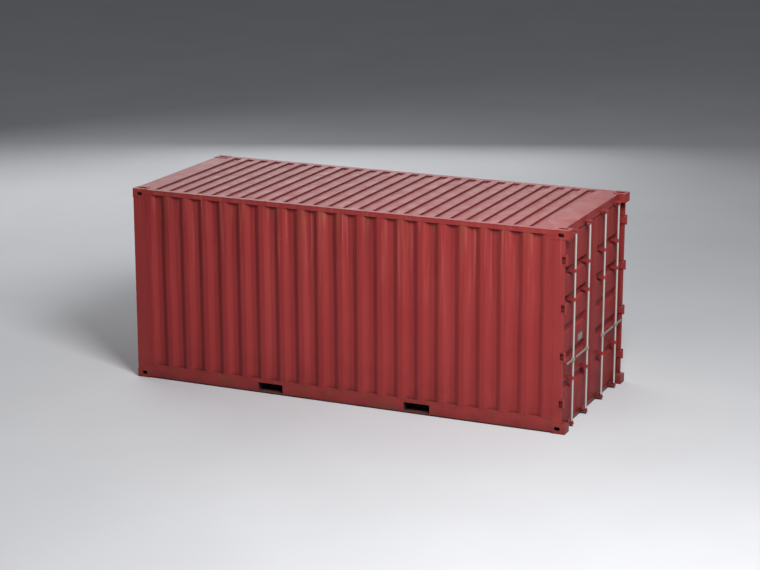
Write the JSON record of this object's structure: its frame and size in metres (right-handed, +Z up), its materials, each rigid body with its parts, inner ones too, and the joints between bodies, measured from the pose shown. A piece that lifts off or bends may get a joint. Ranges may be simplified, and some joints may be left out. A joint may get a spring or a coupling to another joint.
{
  "type": "shipping container",
  "caption": "Steel freight container with corrugated walls, stamped roof, corner castings, forklift pockets and a pair of swinging doors closed by rotating lock rods.",
  "frame": {"origin": "bottom centre of the whole box, on the ground", "axes": "+X towards the door end, +Z up, -Y to the left when facing the doors"},
  "size_m": [6.058, 2.438, 2.591],
  "materials": {
    "red_paint": "satin",
    "underside": "matte",
    "galvanised": "satin",
    "plywood": "satin",
    "rubber": "matte"
  },
  "bodies": {
    "container": {"floor": "plywood", "floor_joists": "underside", "forklift_pocket_front": "underside", "forklift_pocket_rear": "underside", "front_bottom_rail": "red_paint", "front_top_rail": "red_paint", "front_panel": "red_paint", "front_roof_plate": "red_paint", "roof_panel": "red_paint", "rear_roof_plate": "red_paint", "door_sill": "red_paint", "door_header": "red_paint", "top_corner_castings": "red_paint", "bottom_corner_castings": "red_paint", "cam_keepers": "red_paint", "bottom_side_rail_left": "red_paint", "bottom_side_rail_right": "red_paint", "top_side_rail_left": "red_paint", "top_side_rail_right": "red_paint", "side_panel_left": "red_paint", "side_panel_right": "red_paint", "front_post_left": "red_paint", "front_post_right": "red_paint", "rear_post_left": "red_paint", "rear_post_right": "red_paint", "hinge_lugs_left": "red_paint", "hinge_lugs_right": "red_paint"},
    "door_left": {"door_frame_left": "red_paint", "door_panel_left": "red_paint", "door_gasket_left": "rubber", "door_hinges_left": "red_paint", "rod_guides_left": "red_paint", "handle_catches_left": "red_paint"},
    "outer_rod_left": {"outer_lock_rod_left": "galvanised"},
    "outer_grip_left": {"outer_handle_left": "galvanised"},
    "inner_rod_left": {"inner_lock_rod_left": "galvanised"},
    "inner_grip_left": {"inner_handle_left": "galvanised"},
    "door_right": {"door_frame_right": "red_paint", "door_panel_right": "red_paint", "door_gasket_right": "rubber", "door_hinges_right": "red_paint", "rod_guides_right": "red_paint", "handle_catches_right": "red_paint"},
    "outer_rod_right": {"outer_lock_rod_right": "galvanised"},
    "outer_grip_right": {"outer_handle_right": "galvanised"},
    "inner_rod_right": {"inner_lock_rod_right": "galvanised"},
    "inner_grip_right": {"inner_handle_right": "galvanised"}
  },
  "joints": [
    {"name": "door_left_swing", "type": "hinge", "parent": "container", "child": "door_left", "pos_m": [2.996, -1.203, 1.3], "axis": [0, 0, -1], "range_deg": [0, 250]},
    {"name": "outer_rod_left_turn", "type": "hinge", "parent": "door_left", "child": "outer_rod_left", "pos_m": [2.999, -0.86, 1.3], "axis": [0, 0, -1], "range_deg": [-110, 0]},
    {"name": "outer_grip_left_lift", "type": "hinge", "parent": "outer_rod_left", "child": "outer_grip_left", "pos_m": [2.999, -0.9, 0.88], "axis": [1, 0, 0], "range_deg": [-12, 0]},
    {"name": "inner_rod_left_turn", "type": "hinge", "parent": "door_left", "child": "inner_rod_left", "pos_m": [2.999, -0.315, 1.3], "axis": [0, 0, -1], "range_deg": [-110, 0]},
    {"name": "inner_grip_left_lift", "type": "hinge", "parent": "inner_rod_left", "child": "inner_grip_left", "pos_m": [2.999, -0.355, 0.88], "axis": [1, 0, 0], "range_deg": [-12, 0]},
    {"name": "door_right_swing", "type": "hinge", "parent": "container", "child": "door_right", "pos_m": [2.996, 1.203, 1.3], "axis": [0, 0, 1], "range_deg": [0, 250]},
    {"name": "outer_rod_right_turn", "type": "hinge", "parent": "door_right", "child": "outer_rod_right", "pos_m": [2.999, 0.86, 1.3], "axis": [0, 0, 1], "range_deg": [-110, 0]},
    {"name": "outer_grip_right_lift", "type": "hinge", "parent": "outer_rod_right", "child": "outer_grip_right", "pos_m": [2.999, 0.9, 0.88], "axis": [-1, 0, 0], "range_deg": [-12, 0]},
    {"name": "inner_rod_right_turn", "type": "hinge", "parent": "door_right", "child": "inner_rod_right", "pos_m": [2.999, 0.315, 1.3], "axis": [0, 0, 1], "range_deg": [-110, 0]},
    {"name": "inner_grip_right_lift", "type": "hinge", "parent": "inner_rod_right", "child": "inner_grip_right", "pos_m": [2.999, 0.355, 0.88], "axis": [-1, 0, 0], "range_deg": [-12, 0]}
  ]
}
